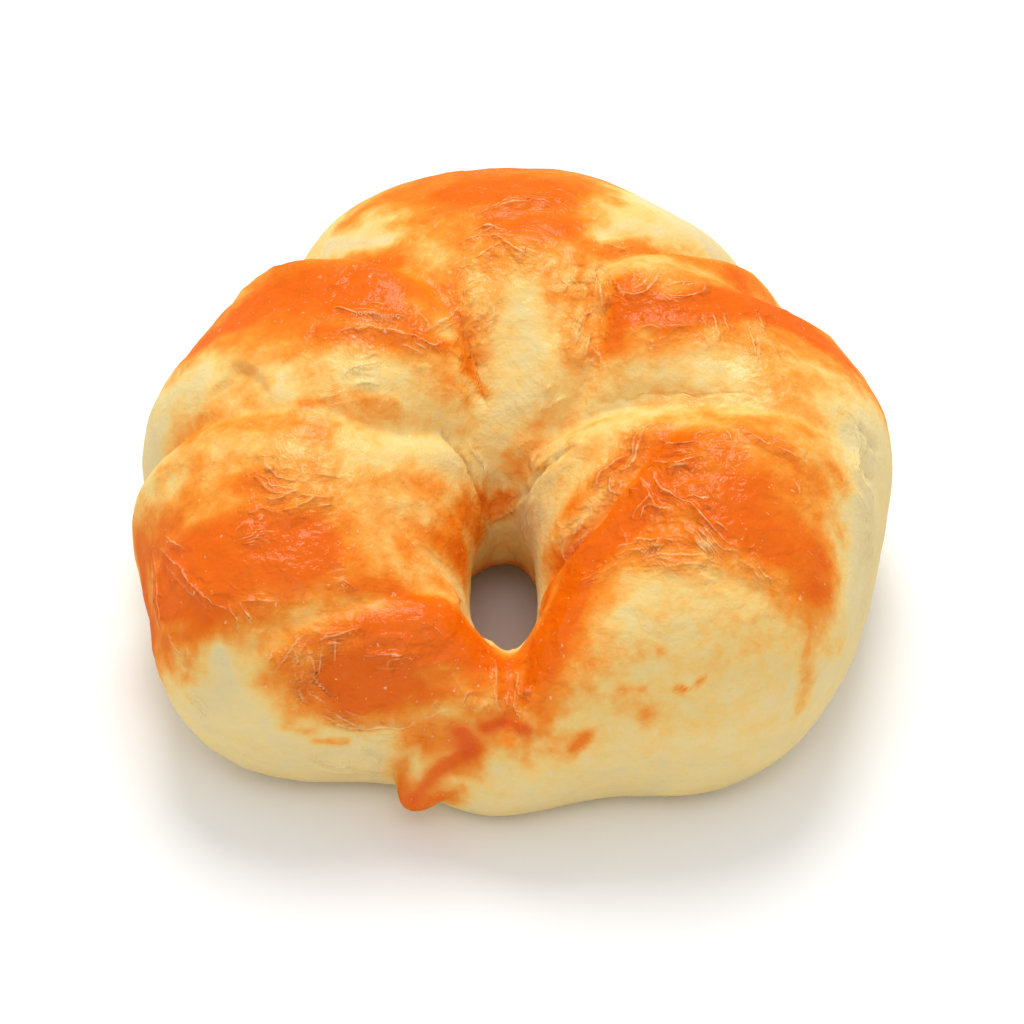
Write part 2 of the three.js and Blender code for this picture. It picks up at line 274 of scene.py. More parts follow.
    ([(69, 40), (67, 34), (64, 27)], 1.6, 0.45, 1.6, 0.9),
    # back right
    ([(147, 95), (139, 87), (134, 64), (129, 47)], 4.4, 1, 0.32, 0.61),
    ([(155, 92), (147, 85), (141, 75)], 4, 0.42, 0.64, 0.81),
    ([(129, 47), (123, 36)], 5, 0.9, 0.4, 0.68),
    ([(149, 107), (139, 100), (132, 86)], 2.2, 0.6, 0.56, 0.81),
    ([(151, 111), (145, 107)], 1.7, 0.6, 0.64, 0.94),
    ([(129, 79), (123, 64), (120, 45)], 3.6, 0.5, 0.8, 0.95),
    ([(162, 80), (156, 68), (148, 65), (141, 52)], 2.6, 0.72, 0.56, 0.94),
    ([(150, 47), (141, 46)], 2.6, 0.42, 0.56, 0.95),
    ([(113, 70), (112, 60)], 2.4, 0.52, 0.96, 0.94),
    ([(120, 77), (116, 62), (114, 48)], 3.2, 0.36, 0.96, 0.95),
    ([(122, 30), (118, 23), (116, 18)], 2.4, 0.6, 0.48, 0.81),
    ([(108, 66), (107, 48)], 2.2, 0.36, 0.96, 0.95),
    ([(141, 50), (133, 54), (130, 46)], 2.4, 0.7, 0.4, 0.8),
    ([(154, 91), (152, 96), (150, 101), (149, 104)], 2.2, 0.85, 0.4, 0.7),
    # the wall of the hole: its amber bake is partly the crust's colour and partly painted shade inside the
    # hole
    ([(0, 205), (60, 205), (120, 205), (180, 208), (240, 205), (300, 205), (360, 205)], 6, 0.5, 0.4, 0.81),
]
STROKE_WANDER = [(13.0, 1.0), (5.0, 0.9), (2.0, 0.5)]
STROKE_JOINING = 3
HALO_STRENGTH, HALO_REACH = 0.6, (0.6, 2.8)

# The bake of bare dough, what the top adds to it, and how far up a normal points where that comes in
PALE_BAKE, TOP_BAKE = 0.07, 0.2
TOP_FACING = (0.1, 0.9)

# Places the brush missed, which stayed pale
PALE_STROKES = [
    ([(207, 42), (204, 57), (200, 67)], 1.7, 0.9, 0.5, 0.7),
    ([(202, 53), (198, 59)], 1.6, 0.6, 0.5, 0.7),
    ([(163, 66), (159, 60), (152, 49)], 2.6, 0.45, 0.6, 0.8),
    ([(160, 46), (155, 43), (150, 36)], 4, 1, 0.5, 0.6),
    ([(163, 78), (160, 68), (156, 59)], 1.4, 0.7, 0.5, 0.7),
    ([(178, 106), (172, 116), (171, 128), (176, 140)], 3.6, 0.45, 1.2, 0.95),
    ([(230, 101), (219, 114)], 2, 0.5, 0.8, 0.8),
    ([(240, 81), (245, 82)], 1.5, 0.6, 0.6, 0.8),
    ([(244, 31), (243, 46), (241, 50)], 3, 0.7, 0.6, 0.8),
    ([(249, 12), (247, 31)], 2.6, 0.9, 0.6, 0.7),
    ([(251, 109), (242, 126), (221, 142)], 2.6, 0.5, 0.9, 0.8),
    ([(273, 126), (274, 134)], 2, 0.4, 0.9, 0.8),
    ([(261, 19), (266, 12)], 1.8, 0.2, 0.6, 0.7),
    ([(299, 34), (302, 29), (302, 21)], 1.9, 0.9, 0.9, 0.6),
    ([(305, 65), (307, 82), (314, 90)], 1.5, 0.3, 0.9, 0.8),
    ([(98, 133), (85, 139), (70, 148)], 0.9, 0.5, 0.4, 0.7),
    ([(134, 104), (127, 91), (120, 80)], 2.8, 0.55, 1.8, 0.95),
    ([(123, 119), (121, 109), (112, 99)], 2, 0.35, 0.6, 0.9),
    ([(143, 124), (125, 111)], 1.6, 0.4, 0.6, 0.8),
    ([(38, 78), (46, 70), (54, 60)], 3, 0.35, 1.6, 0.95),
    ([(105, 41), (106, 29), (92, 24), (82, 15)], 4.5, 0.9, 0.9, 0.7),
    ([(306, 131), (319, 140)], 2.6, 0.4, 0.6, 0.8),
    ([(75, 18), (67, 13)], 3, 0.5, 0.9, 0.9),
]

# The seam's redder glaze
RED_STROKES = [
    ([(354, 41), (359, 47), (365, 42)], 1, 0.45, 0.6, 0.7),
    ([(348, 31), (350, 22)], 1.3, 0.6, 0.8, 0.8),
    ([(348, 15), (344, 5), (342, -2), (340, -9)], 1, 0.4, 0.6, 0.8),
    ([(336, -9), (340, -14), (344, -10)], 1.8, 0.25, 0.4, 0.6),
]

# The glazed skin, which wrinkles, lies where the bake reaches from the first of these to the second
FILM_BAKE = (0.24, 0.42)

# Folds of the thin skin: a route of theta and phi, height (a groove below 0), and half the width left and
# right of it
FOLDS = [
    # back and tongue
    ([(187, 75), (181, 77), (176, 74), (172, 73)], 0.9, 0.9, 2.2),
    ([(187, 85), (183, 86), (180, 88)], 0.5, 0.9, 1.4),
    ([(189, 88), (185, 88), (180, 91)], 0.4, 0.9, 1.4),
    ([(181, 91), (178, 95), (176, 97)], 0.6, 0.9, 1.4),
    ([(187, 95), (184, 94), (181, 92)], 0.6, 0.9, 1.4),
    ([(179, 94), (175, 95), (172, 95)], 0.4, 0.9, 1.4),
    ([(192, 98), (190, 96), (188, 96)], 0.5, 0.8, 1.2),
    ([(190, 101), (191, 106), (191, 111)], 0.5, 0.8, 1.2),
    ([(189, 114), (186, 113), (188, 111)], 0.4, 0.8, 1),
    ([(163, 88), (159, 95), (156, 101)], 1.2, 1, 2),
    ([(161, 86), (157, 94), (154, 103)], -0.9, 1.2, 1.2),
    ([(159, 98), (159, 108), (159, 116)], 0.6, 0.9, 1.4),
    ([(167, 98), (165, 100), (165, 102)], 0.6, 0.8, 1),
    ([(155, 111), (151, 112), (149, 115)], 0.4, 0.8, 1),
    ([(165, 139), (160, 134), (157, 129)], 0.5, 0.8, 1.2),
    ([(165, 152), (165, 155), (165, 158)], 0.5, 0.7, 1),
    ([(181, 163), (181, 168), (179, 170)], 0.4, 0.7, 1),
    ([(192, 112), (191, 121), (190, 131), (187, 139)], -0.8, 1.8, 1.8),
    # back left
    ([(222, 35), (215, 58), (207, 80), (200, 100)], 1.6, 5, 12),
    ([(220, 84), (217, 92), (211, 102)], 0.5, 0.9, 1.4),
    ([(216, 91), (213, 97), (209, 104)], 0.4, 0.9, 1.2),
    ([(225, 90), (222, 95), (217, 101)], 0.4, 0.9, 1.2),
    ([(222, 91), (218, 99), (212, 106), (206, 111)], 0.5, 0.9, 1.4),
    ([(210, 107), (204, 114), (198, 116)], 0.5, 0.9, 1.4),
    ([(204, 110), (196, 110), (192, 107)], 0.5, 0.9, 1.2),
    ([(205, 104), (203, 107), (202, 110)], 0.35, 0.8, 1),
    ([(234, 100), (228, 104), (221, 109)], 0.4, 0.8, 1.2),
    ([(235, 104), (231, 108), (228, 112)], 0.4, 0.8, 1.2),
    ([(243, 96), (240, 100), (236, 104)], 0.3, 0.8, 1.2),
    ([(246, 53), (242, 61), (240, 64), (241, 72), (245, 77)], -1, 0.7, 8),
    # left
    ([(266, 75), (269, 78), (272, 83), (272, 89)], 0.6, 0.8, 1.4),
    ([(264, 78), (269, 82), (270, 89)], 0.6, 0.8, 1.4),
    ([(268, 90), (267, 101), (268, 106)], 0.4, 0.8, 1.2),
    ([(273, 89), (276, 94), (274, 102)], 0.5, 0.8, 1.2),
    ([(277, 74), (279, 81), (277, 89), (276, 95)], 0.8, 0.9, 1.6),
    ([(281, 64), (280, 69), (281, 74)], 0.4, 0.8, 1.2),
    ([(283, 65), (283, 70), (282, 74)], 0.4, 0.8, 1.2),
    ([(258, 81), (263, 83), (265, 87)], 0.4, 0.8, 1.2),
    ([(271, 26), (281, 38), (290, 47), (295, 50)], 0.5, 0.9, 1.6),
    ([(270, 19), (276, 23), (282, 23), (288, 22)], 0.5, 0.9, 1.6),
    ([(294, 52), (297, 50), (299, 48)], 0.6, 0.8, 1.2),
    ([(295, 56), (297, 61), (300, 66)], 0.4, 0.8, 1.2),
    ([(288, 23), (293, 23), (298, 22)], 0.4, 0.8, 1.2),
    ([(302, 87), (304, 93), (307, 93)], 0.3, 0.8, 1.2),
    # front left
    ([(311, 58), (314, 64), (316, 70)], 0.5, 0.8, 1.2),
    ([(320, 54), (323, 56), (327, 57), (331, 61)], 0.6, 0.8, 1.4),
    ([(313, 54), (314, 58), (316, 59)], 0.5, 0.8, 1.2),
    ([(326, 48), (326, 54), (331, 58), (333, 57)], 0.5, 0.8, 1.2),
    ([(330, 81), (336, 83)], 0.4, 0.8, 1),
    ([(308, 52), (310, 48), (310, 42)], 0.4, 0.8, 1.2),
    ([(311, 53), (314, 43), (316, 35), (319, 28)], 0.5, 0.9, 1.6),
    ([(317, 24), (321, 20), (325, 17)], 0.5, 0.8, 1.4),
    ([(320, 18), (325, 16), (332, 19), (337, 25)], 0.8, 0.9, 1.8),
    ([(337, 25), (341, 36), (344, 43)], 0.5, 0.8, 1.2),
    # join
    ([(357, 105), (357, 82), (357, 64), (359, 52)], 0.4, 0.7, 1),
    ([(3, 96), (3, 73), (7, 61)], 0.4, 0.7, 1),
    ([(2, 76), (2, 57), (3, 49)], 0.4, 0.7, 1),
    ([(351, 65), (349, 56), (348, 49)], 0.4, 0.8, 1.2),
    # right
    ([(119, 113), (114, 117), (106, 122), (103, 129), (96, 130)], 0.8, 1, 1),
    ([(93, 133), (79, 140), (63, 149), (31, 139)], 0.5, 0.9, 1.4),
    ([(103, 126), (100, 129), (96, 129), (84, 114)], 0.5, 0.8, 1.2),
    ([(107, 111), (102, 103), (99, 94)], 0.8, 0.9, 1.4),
    ([(103, 113), (96, 102), (96, 94)], -0.8, 1, 1),
    ([(101, 113), (93, 106), (92, 98), (94, 91)], 0.8, 0.9, 1.4),
    ([(69, 110), (75, 109), (75, 99)], 0.5, 0.8, 1.2),
    ([(95, 113), (82, 105), (76, 94), (71, 83)], 0.6, 0.9, 1.4),
    ([(78, 98), (74, 90), (71, 83), (69, 72)], 0.5, 0.8, 1.2),
    ([(79, 97), (78, 91), (79, 89)], 0.6, 0.8, 1.2),
    ([(70, 94), (65, 87), (63, 79)], 0.5, 0.8, 1.2),
    ([(70, 91), (67, 84), (65, 74)], 0.5, 0.8, 1),
    ([(72, 89), (68, 82), (68, 71)], 0.5, 0.8, 1),
    ([(61, 111), (62, 101), (64, 93)], 0.6, 0.8, 1.4),
    ([(53, 112), (58, 104), (62, 97)], 0.5, 0.8, 1.4),
    ([(55, 101), (60, 89), (64, 75)], 0.5, 0.8, 1.4),
    ([(55, 94), (59, 83), (62, 72)], 0.4, 0.8, 1.4),
    ([(68, 67), (67, 59), (67, 55)], 0.5, 0.8, 1.2),
    ([(67, 72), (66, 59)], 0.4, 0.8, 1.2),
    ([(39, 117), (46, 111), (51, 106)], 0.4, 0.8, 1.2),
    ([(104, 85), (98, 77), (96, 68), (95, 59)], 0.5, 0.8, 1.4),
    ([(103, 89), (98, 86)], 0.4, 0.8, 1),
    ([(90, 62), (87, 59)], 0.4, 0.8, 1),
    # back right
    ([(162, 80), (159, 75), (158, 70)], 0.4, 0.8, 1.2),
    ([(160, 86), (154, 94), (149, 91), (148, 85), (149, 78)], 0.5, 0.8, 1.2),
    ([(153, 84), (150, 83), (150, 78)], 0.4, 0.8, 1),
    ([(157, 84), (152, 88), (152, 90)], 0.4, 0.8, 1),
    ([(146, 86), (142, 84), (140, 76), (142, 73)], 0.5, 0.8, 1.2),
    ([(146, 84), (144, 80), (142, 74)], 0.4, 0.8, 1),
    ([(144, 100), (142, 96), (139, 94)], 0.4, 0.8, 1.2),
    ([(138, 92), (136, 89), (135, 86)], 0.4, 0.8, 1.2),
    ([(135, 79), (132, 81), (128, 83)], 0.5, 0.8, 1.2),
    ([(134, 75), (130, 78)], 0.4, 0.8, 1),
    ([(132, 63), (126, 66), (121, 68)], 0.7, 0.8, 1.2),
    ([(131, 68), (125, 73), (119, 76)], 0.5, 0.8, 1.2),
    ([(143, 124), (132, 111), (121, 94), (113, 76)], -0.5, 2, 3),
    # where the turns meet at the hole
    ([(212, 136), (206, 147), (203, 154), (199, 164), (196, 171), (194, 180)], -1.5, 1.1, 1.1),
    ([(136, 137), (142, 144), (152, 152), (161, 161), (169, 167), (182, 174), (190, 176)], -1.2, 1.4, 1.4),
    ([(173, 168), (180, 173), (183, 176)], 0.4, 0.7, 1),
    ([(185, 179), (174, 173), (163, 165), (156, 159)], 0.5, 0.8, 1.2),
    ([(165, 158), (166, 155), (161, 149), (151, 142)], 0.4, 0.8, 1.2),
    ([(147, 160), (154, 168), (167, 181)], 0.5, 1.2, 1.6),
    ([(198, 146), (194, 155), (188, 164)], 0.6, 1, 1.6),
    # dents that widen the hole's front rim
    ([(328, 136), (341, 138), (352, 140)], -1.4, 5, 5),
    ([(4, 143), (14, 147), (26, 147)], -1.6, 5, 5),
    # the pale sides
    ([(112, 49), (109, 44), (105, 38), (99, 37), (97, 27), (96, 20)], 0.7, 1, 2.4),
    ([(107, 42), (107, 32), (107, 24)], -0.8, 1.6, 1.6),
    ([(100, 33), (102, 22)], -0.7, 1.4, 1.4),
    ([(96, 37), (94, 26), (91, 17), (88, 12)], 0.6, 1, 2),
    ([(66, 16), (62, 12), (60, 8)], 0.4, 0.9, 1.4),
    ([(312, 60), (314, 48), (316, 36), (319, 30)], 0.6, 1.2, 1.6),
    ([(308, 60), (308, 44), (308, 38)], 0.4, 1, 1.4),
    ([(314, 1), (320, -7), (328, -12)], 0.5, 1, 2),
    ([(304, 0), (310, -8)], 0.35, 0.9, 1.6),
    ([(323, 4), (330, -1)], 0.4, 0.9, 1.6),
    ([(295, 12), (299, 10), (302, 1)], 0.35, 0.9, 1.4),
]
LINE_STEPS = 24
FOLD_SHARPNESS, FOLD_DEPTH, FOLD_TAPER = 1.5, 1.25, 0.6
FULL_FOLD, BROAD_FOLD = 0.6, 3.0

# Each fold keeps the distance from its crest, up to a limit, on one of some sheets
FOLD_LINE_REACH, CREST_LIMIT = 1.2, 2
FOLD_SHEETS = 4

# Shorter folds beside the ridges, as a loose skin gathers: how many, gap, share of the ridge's height, least
# share of its length, and steps of it from one of their rows to the next
COMPANIONS = 2
COMPANION_GAP, COMPANION_HEIGHT = (0.8, 2.4), (0.4, 0.9)
COMPANION_LENGTH, COMPANION_STRIDE = 0.3, 8
GATHER_REACH = (0.5, 5.0)

# Noise by the size of its bumps: how far it moves a fold, its height and sharpness on the thin skin, and its
# height on all the dough
FOLD_WANDER = [(4.0, 0.6), (1.6, 0.35)]
CRINKLES = [(6.0, 0.25, 3)]
GRAIN = [(9.0, 0.25), (3.2, 0.12), (1.5, 0.05)]
NOISE_CELLS = 32

# Where the random draws start
STROKE_SEED, PALE_SEED, RED_SEED = 11, 31, 21
COMPANION_SEED, WANDER_SEED = 5, 90
CRINKLE_SEED, CRINKLE_BEND_SEED, GRAIN_SEED = 40, 60, 80

# Streaks run along the ring: they are placed on a circle of this radius, which draws them out
FLOW_RADIUS = 18.0
NEVER_ZERO = 1e-9


def catmull_rom(before, start, end, after, share):
    """The curve between start and end."""
    return 0.5 * (2 * start + (end - before) * share
                  + (2 * before - 5 * start + 4 * end - after) * share ** 2
                  + (3 * start - before - 3 * end + after) * share ** 3)


def smoothstep(value, low, high):
    share = np.clip((value - low) / (high - low), 0, 1)
    return share * share * (3 - 2 * share)


def sections_at(theta):
    place = (np.asarray(theta, float) / TURN % 1) * len(SECTIONS)
    row = np.floor(place).astype(int)
    around = [SECTIONS[(row + k) % len(SECTIONS)] for k in (-1, 0, 1, 2)]
    return np.moveaxis(catmull_rom(*around, (place - row)[..., None]), -1, 0)


def smooth_points(theta, phi):
    """Points of the smooth roll, before creases, tail and lumps."""
    reach, height, widest = sections_at(theta)
    theta, phi = np.radians(theta), np.radians(phi)
    front = np.cos(theta) > 0
    length = np.where(front, HOLE_FRONT, HOLE_BACK)
    power = np.where(front, HOLE_FRONT_ROUNDNESS, HOLE_BACK_ROUNDNESS)
    across, along = np.abs(np.sin(theta)) / HOLE_HALF_WIDTH, np.abs(np.cos(theta)) / length
    inner = (across ** power + along ** power) ** (-1 / power)
    radius = (inner + reach) / 2 + (reach - inner) / 2 * np.cos(phi)
    lift = np.sin(phi)
    span = np.where(lift > 0, height - widest, widest + BASE_FLATTENING)
    roundness = np.where(lift > 0, TOP_ROUNDNESS, BASE_ROUNDNESS)
    z = widest + span * np.sign(lift) * np.abs(lift) ** (2 / roundness)
    return np.stack([HOLE_X + radius * np.sin(theta), HOLE_Y - radius * np.cos(theta), z], -1)


def smooth_steps(theta, phi):
    """How the smooth roll runs on along the ring and round the roll, for each degree."""
    along = smooth_points(theta + NORMAL_STEP, phi) - smooth_points(theta - NORMAL_STEP, phi)
    around = smooth_points(theta, phi + NORMAL_STEP) - smooth_points(theta, phi - NORMAL_STEP)
    return along / (2 * NORMAL_STEP), around / (2 * NORMAL_STEP)


def smooth_normals(theta, phi):
    normal = np.cross(*smooth_steps(theta, phi))
    return normal / np.linalg.norm(normal, axis=-1, keepdims=True)


def along_route(route, steps=ROUTE_STEPS):
    """Evenly spaced rows on a curve through the route's rows."""
    rows = np.array(route, float)
    rows = np.vstack([2 * rows[0] - rows[1], rows, 2 * rows[-1] - rows[-2]])
    place = np.linspace(0, len(route) - 1, steps + 1)
    row = np.minimum(np.floor(place).astype(int), len(route) - 2)
    return catmull_rom(rows[row], rows[row + 1], rows[row + 2], rows[row + 3], (place - row)[:, None])


def nearest(line, points, normals, reach):
    """For the points within reach of a line: which they are, their distance, side and place along it.

    The side is 1 on the line's left, seen from outside the roll, and -1 on its right."""
    low, high = line.min(0) - reach, line.max(0) + reach
    close = np.nonzero(((points > low) & (points < high)).all(-1))[0]
    spots, outward = points[close], normals[close]
    distance = np.full(len(close), np.inf)
    side, place = np.zeros(len(close)), np.zeros(len(close))
    for k, (start, end) in enumerate(zip(line[:-1], line[1:])):
        piece = end - start
        share = np.clip((spots - start) @ piece / (piece @ piece), 0, 1)
        offset = spots - start - share[:, None] * piece
        gap = np.linalg.norm(offset, axis=-1)
        nearer = gap < distance
        sideways = np.cross(outward[nearer], piece)
        lean = (offset[nearer] * sideways).sum(-1)
        side[nearer] = lean / (np.linalg.norm(sideways, axis=-1) * gap[nearer] + NEVER_ZERO)
        distance[nearer] = gap[nearer]
        place[nearer] = k + share[nearer]
    return close, distance, side, place


def beside_route(route, points, normals, reach):
    """The points within reach of a route: which, how far, on which side, and the route's size there."""
    rows = along_route(route)
    line, sizes = smooth_points(rows[:, 0], rows[:, 1]), np.maximum(rows[:, 2], 0)
    close, distance, side, place = nearest(line, points, normals, reach)
    return close, distance, side, np.interp(place, np.arange(len(sizes)), sizes)


def crease_depths(points, normals):
    depth = np.zeros(len(points))
    room = np.hypot(points[:, 0] - HOLE_X, points[:, 1] - HOLE_Y) / FULL_WIDTH_REACH
    for near, far, guide, route in CREASES:
        reach = max(near, far) + CREASE_ROUNDING
        close, distance, side, size = beside_route(route, points, normals, reach)
        width = far + (near - far) * (side + 1) / 2
        width = width * np.clip(room[close], LEAST_WIDTH, 1)
        soft = np.hypot(distance, CREASE_ROUNDING) - CREASE_ROUNDING
        depth[close] += size * np.maximum(1 - soft / width, 0) ** 2
    return depth


def tail_heights(points, normals):
    close, distance, side, size = beside_route(TAIL_ROUTE, points, normals, TAIL_HALF_WIDTH)
    height = np.zeros(len(points))
    height[close] = size * np.maximum(1 - (distance / TAIL_HALF_WIDTH) ** 2, 0) ** TAIL_FULLNESS
    return height


def lump_heights(points):
    return sum(height * np.sin(points @ np.array(wave) + phase) for height, wave, phase in LUMPS)


def noise(points, grain, seed):
    """Smooth random values from -1 to 1 whose bumps are about one grain across."""
    table = np.random.default_rng(seed).uniform(-1, 1, (NOISE_CELLS,) * 3)
    place = points / grain
    cell = np.floor(place).astype(int)
    share = smoothstep(place - cell, 0, 1)
    total = np.zeros(len(points))
    for corner in np.ndindex(2, 2, 2):
        weight = np.where(corner, share, 1 - share).prod(-1)
        total += weight * table[tuple(((cell + corner) % NOISE_CELLS).T)]
    return total


def noise_vectors(points, grain, seed):
    return np.stack([noise(points, grain, seed + axis) for axis in range(3)], -1)


def guide_lines():
    """The guiding creases in order round the ring: where each crosses the top, and its places."""
    rows = [along_route(route) for near, far, guide, route in CREASES if guide]
    guides = [(np.interp(TOP, row[:, 1], row[:, 0]), row) for row in rows]
    return sorted(guides, key=lambda guide: guide[0])


def leaning_theta(turn, phi):
    """A step round the ring leans over with the two creases that it lies between."""
    guides = guide_lines()
    turns = np.array([top for top, row in guides])
    leans = np.stack([np.interp(phi, row[:, 1], row[:, 0]) - top for top, row in guides], -1)
    above = np.searchsorted(turns, turn, side="right") % len(turns)
    below = (above - 1) % len(turns)
    share = ((turn - turns[below]) % TURN) / ((turns[above] - turns[below]) % TURN)
    low, high = [np.take_along_axis(leans, row[..., None], -1)[..., 0] for row in (below, above)]
    fade = smoothstep(phi, *LEAN_FROM_BASE) * (1 - smoothstep(phi, *LEAN_UP_TO_HOLE))
    return turn + (low + (high - low) * share) * fade


def ring_grid():
    """theta, phi and the way round the roll of every point of the surface, row by row round the ring."""
    ring = np.arange(RING_STEPS) * 2 * np.pi / RING_STEPS
    turn = np.degrees(ring + BACK_CROWDING * np.sin(ring))
    fine = BASE + np.arange(TURN + 1)
    fine_turn, fine_phi = np.meshgrid(turn, fine, indexing="ij")
    pace = np.linalg.norm(np.diff(smooth_points(fine_turn, fine_phi), axis=1), axis=-1)
    middle = (fine[1:] + fine[:-1]) / 2 % TURN
    pace *= np.where((middle > UNDER_PHI[0]) & (middle < UNDER_PHI[1]), UNDER_DENSITY, 1)
    way = np.concatenate([np.zeros((RING_STEPS, 1)), np.cumsum(pace, 1)], 1)
    steps = np.arange(ROLL_STEPS) / ROLL_STEPS
    phi = np.stack([np.interp(steps * line[-1], line, fine) for line in way])
    turn = np.repeat(turn[:, None], ROLL_STEPS, 1)
    return leaning_theta(turn, phi).ravel(), phi.ravel(), (way[:, -1:] * steps).ravel()


def brushed(strokes, points, normals, seed):
    """How strongly the strokes cover each point, from 0 to 1. Where they meet, the stronger counts most."""
    cover = np.zeros(len(points))
    wander = sum(size * noise(points, grain, seed + k) for k, (grain, size) in enumerate(STROKE_WANDER))
    farthest = sum(size for grain, size in STROKE_WANDER)
    for route, half_width, strength, ragged, softness in strokes:
        rows = along_route(route, LINE_STEPS)
        line = smooth_points(rows[:, 0], rows[:, 1])
        reach = half_width * HALO_REACH[1] + ragged * farthest
        close, distance, side, place = nearest(line, points, normals, reach)
        share = (distance + ragged * wander[close]) / half_width
        core = 1 - smoothstep(share, 1 - softness, 1 + softness)
        halo = HALO_STRENGTH * (1 - smoothstep(share, *HALO_REACH))
        cover[close] += (strength * np.maximum(core, halo)) ** STROKE_JOINING
    return np.minimum(cover ** (1 / STROKE_JOINING), 1)


def beside(rows, gap):
    """A route's rows moved sideways over the roll, to the left for a gap above 0."""
    theta, phi = rows.T
    along, around = smooth_steps(theta, phi)
    forward = np.gradient(smooth_points(theta, phi), axis=0)
    sideways = np.cross(np.cross(along, around), forward)
    sideways *= gap / np.linalg.norm(sideways, axis=-1, keepdims=True)
    turn = [(sideways * run).sum(-1) / (run * run).sum(-1) for run in (along, around)]
    return rows + np.stack(turn, -1)


def companions(folds):
    """Shorter folds beside those that are ridges and not broad."""
    draw = np.random.default_rng(COMPANION_SEED)
    made = []
    for route, size, left, right in folds:
        if size < 0 or max(left, right) > BROAD_FOLD:
            continue
        for step in range(COMPANIONS):
            start = draw.uniform(0, 1 - COMPANION_LENGTH)
            end = draw.uniform(start + COMPANION_LENGTH, 1)
            first, last = int(start * ROUTE_STEPS), int(end * ROUTE_STEPS)
            rows = along_route(route)[first:last + 1:COMPANION_STRIDE]
            moved = beside(rows, draw.uniform(*COMPANION_GAP) * draw.choice([-1, 1]))
            made.append((moved.tolist(), size * draw.uniform(*COMPANION_HEIGHT), left, right))
    return made


def folded(folds, points, normals):
    """Heights of the folds, how the skin gathers near them, and each sheet's strengths and crest distances.

    Folds that run close together go on different sheets, so that each keeps its own sharp line. A crest's
    distance is below 0 on its right."""
    height, gathered = np.zeros(len(points)), np.zeros(len(points))
    strengths = np.zeros((FOLD_SHEETS, len(points)))
    crests = np.full((FOLD_SHEETS, len(points)), np.inf)
    taken = [np.full((1, 3), np.inf) for sheet in range(FOLD_SHEETS)]
    for k, (grain, size) in enumerate(FOLD_WANDER):
        points = points + size * noise_vectors(points, grain, WANDER_SEED + 3 * k)
    for route, size, left, right in folds:
        rows = along_route(route, LINE_STEPS)
        line = smooth_points(rows[:, 0], rows[:, 1])
        reach = max(left, right, GATHER_REACH[1])
        close, distance, side, place = nearest(line, points, normals, reach)
        width = right + (left - right) * (side + 1) / 2
        taper = np.sin(np.pi * np.clip(place / LINE_STEPS, 0, 1)) ** FOLD_TAPER
        slope = np.maximum(1 - distance / width, 0) ** FOLD_SHARPNESS
        height[close] += FOLD_DEPTH * size * taper * slope
        if max(left, right) > BROAD_FOLD:
            continue
        gather = abs(size) / FULL_FOLD * (1 - smoothstep(distance, *GATHER_REACH))
        gathered[close] = np.maximum(gathered[close], np.minimum(gather, 1))
        room = [np.linalg.norm(line[:, None] - other, axis=-1).min() for other in taken]
        sheet = int(np.argmax(room))
        taken[sheet] = np.vstack([taken[sheet], line])
        nearer = (distance < FOLD_LINE_REACH) & (distance < np.abs(crests[sheet, close]))
        spots = close[nearer]
        crests[sheet, spots] = np.where(side[nearer] < 0, -1, 1) * distance[nearer]
        fade = 1 - smoothstep(distance[nearer], FOLD_LINE_REACH / 2, FOLD_LINE_REACH)
        strengths[sheet, spots] = np.clip(size / FULL_FOLD, -1, 1) * taper[nearer] * fade
    return height, gathered, strengths, np.clip(crests, -CREST_LIMIT, CREST_LIMIT)


def crinkle_heights(points, film):
    height = np.zeros(len(points))
    for k, (grain, size, sharpness) in enumerate(CRINKLES):
        bent = points + noise_vectors(points, 2 * grain, CRINKLE_BEND_SEED + 3 * k) * grain / 2
        height += size * (1 - np.abs(noise(bent, grain, CRINKLE_SEED + k))) ** sharpness
    return height * film


def grain_heights(points):
    return sum(size * noise(points, grain, GRAIN_SEED + k) for k, (grain, size) in enumerate(GRAIN))


def crust_shape():
    """The crust's points, and the values at each point that its looks are made from."""
    theta, phi, way = ring_grid()
    points = smooth_points(theta, phi)
    normals = smooth_normals(theta, phi)
    pale = PALE_BAKE + TOP_BAKE * smoothstep(normals[:, 2], *TOP_FACING)
    browned = brushed(STROKES, points, normals, STROKE_SEED)
    bake = (pale ** STROKE_JOINING + browned ** STROKE_JOINING) ** (1 / STROKE_JOINING)
    bake = np.clip(bake, 0, 1) * (1 - brushed(PALE_STROKES, points, normals, PALE_SEED))
    film = smoothstep(bake, *FILM_BAKE)
    red = brushed(RED_STROKES, points, normals, RED_SEED)
    folds, gathered, strengths, crests = folded(FOLDS + companions(FOLDS), points, normals)
    relief = tail_heights(points, normals) + lump_heights(points) - crease_depths(points, normals)
    relief += folds + crinkle_heights(points, film) + grain_heights(points)
    crust = points + normals * relief[:, None]
    crust[:, 2] = np.maximum(crust[:, 2], 0)
    turn = np.radians(theta)
    flow = np.stack([FLOW_RADIUS * np.cos(turn), FLOW_RADIUS * np.sin(turn), way], -1)
    shape = dict(crust=crust, bake=bake, film=film, red=red, flow=flow, gather=gathered)
    for sheet in range(FOLD_SHEETS):
        shape[f"fold{sheet}"], shape[f"crest{sheet}"] = strengths[sheet], crests[sheet]
    return shape


